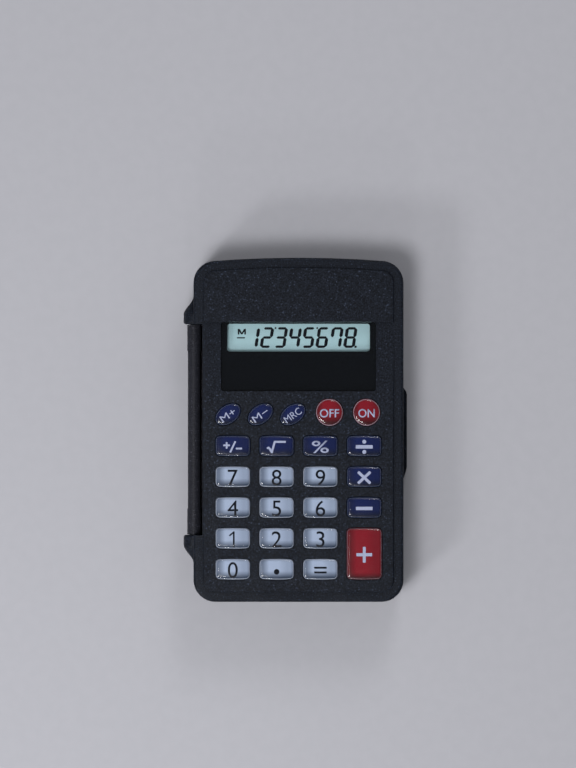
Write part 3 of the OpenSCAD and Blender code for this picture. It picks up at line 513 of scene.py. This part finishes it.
# Thickness of the print, how far it lies under the lens's middle, and its margin at the rim
print_t, print_drop, print_edge = 0.03, 0.53, 0.02
window_w, window_h, window_y, window_r = 48.9, 9.5, 31.6, 0.9
middle_y = (lens_high.y + lens_low.y) / 2
bpy.ops.mesh.primitive_plane_add(size=1)
print_sheet = bpy.context.object
print_sheet.name = print_sheet.data.name = "lens_print"
edit(print_sheet)
bpy.ops.transform.resize(value=(window_w * MM, window_h * MM, 1))
bpy.ops.mesh.bevel(offset=window_r * MM, segments=6, affect="VERTICES")
bpy.ops.mesh.select_all(action="SELECT")
bpy.ops.mesh.delete(type="ONLY_FACE")
bpy.ops.mesh.select_all(action="SELECT")
bpy.ops.transform.translate(value=(0, window_y * MM - middle_y, 0))
bpy.ops.mesh.extrude_edges_move()
done()
rim_x = (lens_high.x - lens_low.x) / 2 - print_edge * MM
rim_y = (lens_high.y - lens_low.y) / 2 - print_edge * MM
for vertex in print_sheet.data.vertices:
    if vertex.select:
        vertex.co.x = math.copysign(rim_x, vertex.co.x)
        vertex.co.y = math.copysign(rim_y, vertex.co.y - (window_y * MM - middle_y))
edit(print_sheet)
thicken(print_t * MM)
print_z = (lens_low.z + lens_high.z) / 2 - print_drop * MM
print_sheet.data.transform(Matrix.Translation((body_x * MM, middle_y, print_z))
                           @ Matrix.Rotation(-slope, 4, "X"))
print_sheet.data.materials.append(
    plastic("gloss_black_print", (0.002, 0.0028, 0.0042), (0.004, 0.0054, 0.008), 0.5 * MM, 0.5,
            0.002 * MM, Specular_IOR_Level=0.02))
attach(print_sheet, "case")


# Keys: each has a coloured moulding with its foot, flange and stem, a printed legend on a raised
# plate with sloped sides, and a clear acrylic cap with rounded edges bonded over it. The moulding's
# colour carries painted shade in bands at its sides, and the ring at the foot of the plate's slope
# is painted pale as a highlight of the cap's rim.
seat_z, cap_round, cap_steps = 18.9, 0.95, 6
lip, rise, run, soft_w, soft_h = 0.26, 0.6, 0.5, 0.12, 0.02    # of the plate under the legend
crown_room, crowns = 0.08, ((0.75, 0.04), (0.45, 0.03))        # share of the top, and its height
legend_lift, legend_drop, memory_turn = 0.03, 0.3, 35
stroke_cut, right_lift, left_lift = 0.14, 0.003, 0.006         # of the strokes in a legend
key_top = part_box("key_5")[1].z / MM


def pick_seat(foot):
    """Opens the foot in edit mode with only the flat top that the cap sits on selected."""
    play, level = 0.01, 0.9
    for face in foot.data.polygons:
        face.select = face.center.z > (seat_z - play) * MM and face.normal.z > level
    bpy.context.view_layer.objects.active = foot
    foot.select_set(True)
    bpy.ops.object.mode_set(mode="EDIT")


def key_blank(node, name):
    """The coloured moulding and the clear cap of one kind of key, in place at that node."""
    foot = smooth_copy(node, name)
    edit(foot)
    bpy.ops.mesh.bisect(plane_co=(0, 0, seat_z * MM), plane_no=(0, 0, 1), use_fill=True, clear_outer=True)
    bpy.ops.mesh.select_mode(type="FACE")
    bpy.ops.mesh.select_all(action="DESELECT")
    done()
    pick_seat(foot)
    bpy.ops.mesh.duplicate()
    bpy.ops.mesh.separate(type="SELECTED")
    done()
    cap = [o for o in bpy.data.objects if o.name.startswith(name) and o != foot][0]
    pick_seat(foot)
    bpy.ops.mesh.inset(thickness=lip * MM, depth=lip * MM, use_even_offset=True)
    bpy.ops.mesh.inset(thickness=run * MM, depth=(rise - lip - soft_h) * MM, use_even_offset=True)
    bpy.ops.mesh.inset(thickness=soft_w * MM, depth=soft_h * MM, use_even_offset=True)
    done()
    edit(cap)
    wall_h = (key_top - seat_z - cap_round - crown_room) * MM
    bpy.ops.mesh.extrude_region_move(TRANSFORM_OT_translate={"value": (0, 0, wall_h)})
    for i in range(cap_steps):
        a, b = math.pi / 2 * i / cap_steps, math.pi / 2 * (i + 1) / cap_steps
        bpy.ops.mesh.inset(thickness=cap_round * (math.cos(a) - math.cos(b)) * MM,
                           depth=cap_round * (math.sin(b) - math.sin(a)) * MM, use_even_offset=True)
    middle = sum(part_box(node), Vector()) / 2
    for share, crown in crowns:
        bpy.ops.mesh.extrude_region_move(TRANSFORM_OT_translate={"value": (0, 0, crown * MM)})
        bpy.ops.transform.resize(value=(share, share, 1), center_override=middle)
    faced_out()
    for piece in (foot, cap):
        smoothed(piece, angle=38)
    # The ring at the foot of the plate's slope takes a second material, painted pale as a highlight of the
    # cap's rim.
    foot.data.materials.append(None)
    for face in foot.data.polygons:
        face.material_index = 1 if seat_z * MM < face.center.z < (seat_z + lip) * MM else 0
    across_key = foot.data.uv_layers.new(name="face")
    low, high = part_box(node)
    for loop in foot.data.loops:
        co = foot.data.vertices[loop.vertex_index].co
        across_key.data[loop.index].uv = ((co.x - low.x) / (high.x - low.x),
                                          (co.y - low.y) / (high.y - low.y))
    return foot, cap


def key_colour_with_painted_shade(name, painted_shade_tone, bright, left, low, tall=1.0):
    """Coloured moulding with painted shade: darkest at the near side, then left, far side and right."""
    roughness, right, far = 0.3, 0.74, 0.6
    material, shader = start_material(name, bright, roughness, Specular_IOR_Level=0.1)
    tree = material.node_tree
    face = tree.nodes.new("ShaderNodeUVMap")
    face.uv_map = "face"
    ways = tree.nodes.new("ShaderNodeSeparateXYZ")
    tree.links.new(face.outputs["UV"], ways.inputs["Vector"])
    from_left, from_near = ways.outputs["X"], ways.outputs["Y"]
    # Painted shade: the share of lit colour falls in bands at the left, right, far and near sides.
    light = between(material, from_left, left, 1, start=0.14, end=0.3)
    for side in (between(material, from_left, 1, right, start=0.55, end=0.78),
                 between(material, from_near, 1, far, start=1 - 0.16 / tall, end=1 - 0.01 / tall),
                 between(material, from_near, low, 1, start=0.17 / tall, end=0.42 / tall)):
        product = tree.nodes.new("ShaderNodeMath")
        product.operation = "MULTIPLY"
        tree.links.new(light, product.inputs[0])
        tree.links.new(side, product.inputs[1])
        light = product.outputs["Value"]
    fleck = grain(material, 0.3 * MM)
    feed(material, shader, Base_Color=tinted(material, light, painted_shade_tone, bright),
         Roughness=between(material, fleck, roughness - 0.05, roughness + 0.07))
    relief(material, shader, fleck, 0.003 * MM)
    return material


# Key colours with painted shade: shade tone, lit colour, and the share of lit colour left at the left and
# near sides.
key_colours_with_painted_shade = {
    "key_pale": key_colour_with_painted_shade("key_silver", (0.015, 0.03, 0.06), (0.38, 0.46, 0.6), 0.34, 0.04),
    "key_blue": key_colour_with_painted_shade("key_navy", (0.002, 0.005, 0.018), (0.004, 0.0115, 0.075), 0.5, 0.1),
    "key_red": key_colour_with_painted_shade("key_crimson", (0.025, 0.002, 0.004), (0.22, 0.006, 0.015), 0.4, 0.1),
    "key_plus": key_colour_with_painted_shade("key_tall_crimson", (0.025, 0.002, 0.004), (0.225, 0.0065, 0.0155), 0.45, 0.1,
                           2.6),
}
# Painted highlights: pale lip colours that stand in for the light caught in each cap's rim.
key_lips_painted_highlight = {
    "key_pale": plastic("lip_silver", (0.36, 0.41, 0.5), (0.42, 0.47, 0.56), 0.2 * MM, 0.3, 0.001 * MM),
    "key_blue": plastic("lip_navy", (0.02, 0.035, 0.08), (0.06, 0.08, 0.14), 0.5 * MM, 0.3, 0.001 * MM),
    "key_red": plastic("lip_rose", (0.38, 0.24, 0.28), (0.5, 0.36, 0.42), 0.5 * MM, 0.3, 0.001 * MM),
    "key_plus": plastic("lip_crimson", (0.14, 0.06, 0.075), (0.24, 0.14, 0.16), 0.5 * MM, 0.3, 0.001 * MM),
}
black_ink = plastic("black_key_ink", (0.001, 0.002, 0.006), (0.003, 0.005, 0.012), 0.2 * MM, 0.5,
                    0.001 * MM, Specular_IOR_Level=0.05)
white_ink = plastic("white_key_ink", (0.36, 0.4, 0.56), (0.44, 0.48, 0.63), 0.2 * MM, 0.5,
                    0.001 * MM, Specular_IOR_Level=0.1)
cap_acrylic = clear("cap_acrylic", (0.97, 0.97, 0.99), 1.5, 0.1)


def strip(length, width, x=0.0, y=0.0, turn=0.0):
    """Printed stroke; a turned one lies a hair higher, so that two that cross aren't level."""
    piece = bar(length, width, min(stroke_cut, width / 4))
    piece.data.transform(shift(x, y, right_lift * (turn > 0) + left_lift * (turn < 0), turn))
    return piece


def dot(width, y):
    """Printed disc at y on a key."""
    bpy.ops.mesh.primitive_circle_add(vertices=24, radius=width / 2 * MM, fill_type="NGON")
    piece = bpy.context.object
    edit(piece)
    thicken(mark_t)
    piece.data.transform(shift(0, y))
    return piece


legends = {name: [words(name[-1], 5.4)] for name in
           ("key_7", "key_8", "key_9", "key_4", "key_5", "key_6", "key_2", "key_3", "key_0")}
legends.update({
    "key_1": [strip(5.4, 0.56, 0.35, 0, 90), strip(2.1, 0.5, -0.4, 1.85, 40)],
    "key_point": [dot(1.9, -0.6)],
    "key_equals": [strip(4.3, 0.65, 0, 0.8), strip(4.3, 0.65, 0, -0.8)],
    "key_sign": [strip(2.3, 0.62, -2.1, 0.5), strip(2.3, 0.62, -2.1, 0.5, 90),
                 strip(4.3, 0.6, 0, 0, 65), strip(2.2, 0.62, 2.1, -0.6)],
    "key_root": [strip(3.9, 0.7, 1.2, 1.7), strip(4.3, 0.7, -1.15, -0.1, 74),
                 strip(2.1, 0.7, -2.1, -1.15, -58), strip(1.0, 0.6, -2.9, -0.35, 24)],
    "key_percent": [words("%", 4.2, 5.8, 0.03)],
    "key_divide": [strip(5.8, 1.2), dot(1.35, 1.75), dot(1.35, -1.75)],
    "key_multiply": [strip(5.8, 0.95, 0, 0, 43), strip(5.8, 0.95, 0, 0, -43)],
    "key_minus": [strip(5.7, 1.15)],
    "key_plus": [strip(5.4, 1.1), strip(5.4, 1.0, 0, 0, 90)],
    "key_off": [words("OFF", 2.9, 6.6, 0.035)],
    "key_on": [words("ON", 2.9, 5.6, 0.035)],
    "key_memory_plus": [words("M+", 2.4, 5.6)],
    "key_memory_minus": [words("M\u2212", 2.4, 5.9)],
    "key_memory_recall": [words("MRC", 2.4, 6.4)],
})
kinds = {
    "key_5": ["key_7", "key_8", "key_9", "key_4", "key_5", "key_6", "key_1", "key_2", "key_3", "key_0",
              "key_point", "key_equals", "key_sign", "key_root", "key_percent", "key_divide",
              "key_multiply", "key_minus"],
    "key_plus": ["key_plus"],
    "key_off": ["key_off", "key_on"],
    "key_memory_plus": ["key_memory_plus", "key_memory_minus", "key_memory_recall"],
}
for first, family in kinds.items():
    foot, cap = key_blank(first, first + "_blank")
    start = sum(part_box(first), Vector()) / 2
    for name in family:
        step = sum(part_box(name), Vector()) / 2 - start
        colour = nodes[name].material_slots[0].material.name.split(".")[0]
        turn = memory_turn if first == "key_memory_plus" else 0
        legend = joined(name + "_legend", legends[name])
        middle = (start + step) / MM
        legend.data.transform(shift(middle.x, middle.y - legend_drop, seat_z + rise + legend_lift, turn))
        # Each moulding takes its colour with painted shade, and its lip ring the painted highlight.
        finish = name if name in key_colours_with_painted_shade else colour
        for part, label, finishes in ((foot, "_moulding", (key_colours_with_painted_shade[finish], key_lips_painted_highlight[finish])),
                                      (cap, "_cap", (cap_acrylic,))):
            piece = twin(part, Matrix.Translation(step))
            piece.name = piece.data.name = name + label
            for index, material in enumerate(finishes):
                piece.data.materials[index] = material
            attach(piece, name)
            if part is foot:
                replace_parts(piece, name)
        legend.data.materials.clear()
        legend.data.materials.append(black_ink if colour == "key_pale" else white_ink)
        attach(legend, name)
    for part in (foot, cap):
        bpy.data.objects.remove(part)


# Room: a plain pale table, a soft lamp high at the near left, smaller ones low at the near left and
# in front, a soft one behind, and an even pale surround that is dimmer straight above.
table_side, table_gap = 6, 0.0002
bpy.ops.mesh.primitive_grid_add(x_subdivisions=8, y_subdivisions=8, size=table_side,
                                location=(0, 0, -table_gap))
table = bpy.context.object
table.name = "table"
table.data.materials.append(
    plastic("table_paint", (0.46, 0.46, 0.5), (0.47, 0.47, 0.51), 4 * MM, 0.8, 0.01 * MM,
            Specular_IOR_Level=0.2))

world = bpy.data.worlds.new("surround")
bpy.context.scene.world = world
world.use_nodes = True
tree = world.node_tree
facing = tree.nodes.new("ShaderNodeTexCoord")
height = tree.nodes.new("ShaderNodeSeparateXYZ")
fade = tree.nodes.new("ShaderNodeMapRange")
for socket, number in (("From Min", 0.0), ("From Max", 1.0), ("To Min", 0.55), ("To Max", 0.1)):
    fade.inputs[socket].default_value = number
tree.links.new(facing.outputs["Generated"], height.inputs["Vector"])
tree.links.new(height.outputs["Z"], fade.inputs["Value"])
tree.links.new(fade.outputs["Result"], tree.nodes["Background"].inputs["Strength"])
tree.nodes["Background"].inputs["Color"].default_value = (0.97, 0.98, 1.0, 1)


def lamp(name, place, size, watts):
    """Square soft lamp at place, aimed at the table's middle."""
    bpy.ops.object.light_add(type="AREA", location=place)
    light = bpy.context.object
    light.name = name
    light.data.shape = "RECTANGLE"
    light.data.size = light.data.size_y = size
    light.data.energy = watts
    light.rotation_euler = (-Vector(place)).to_track_quat("-Z", "Y").to_euler()


lamp("near_left", (-0.24, -0.26, 0.86), 0.3, 4.2)
lamp("low_left", (-0.56, -0.56, 0.5), 0.16, 2.2)
lamp("low_front", (-0.05, -0.85, 0.36), 0.08, 0.7)
lamp("behind", (0.2, 0.8, 0.55), 0.3, 2.2)

focus = Vector((-2.6 * MM, 15.7 * MM, 18.8 * MM))
distance, picture_h, sensor_w = 1.5, 0.263, 36
bpy.ops.object.camera_add(location=focus + Vector((0, 0, distance)), rotation=(0, 0, 0))
camera = bpy.context.object
camera.data.sensor_width = sensor_w
camera.data.lens = sensor_w * distance / picture_h
camera.data.clip_end = 20
bpy.context.scene.camera = camera
bpy.context.scene.view_settings.view_transform = "Standard"
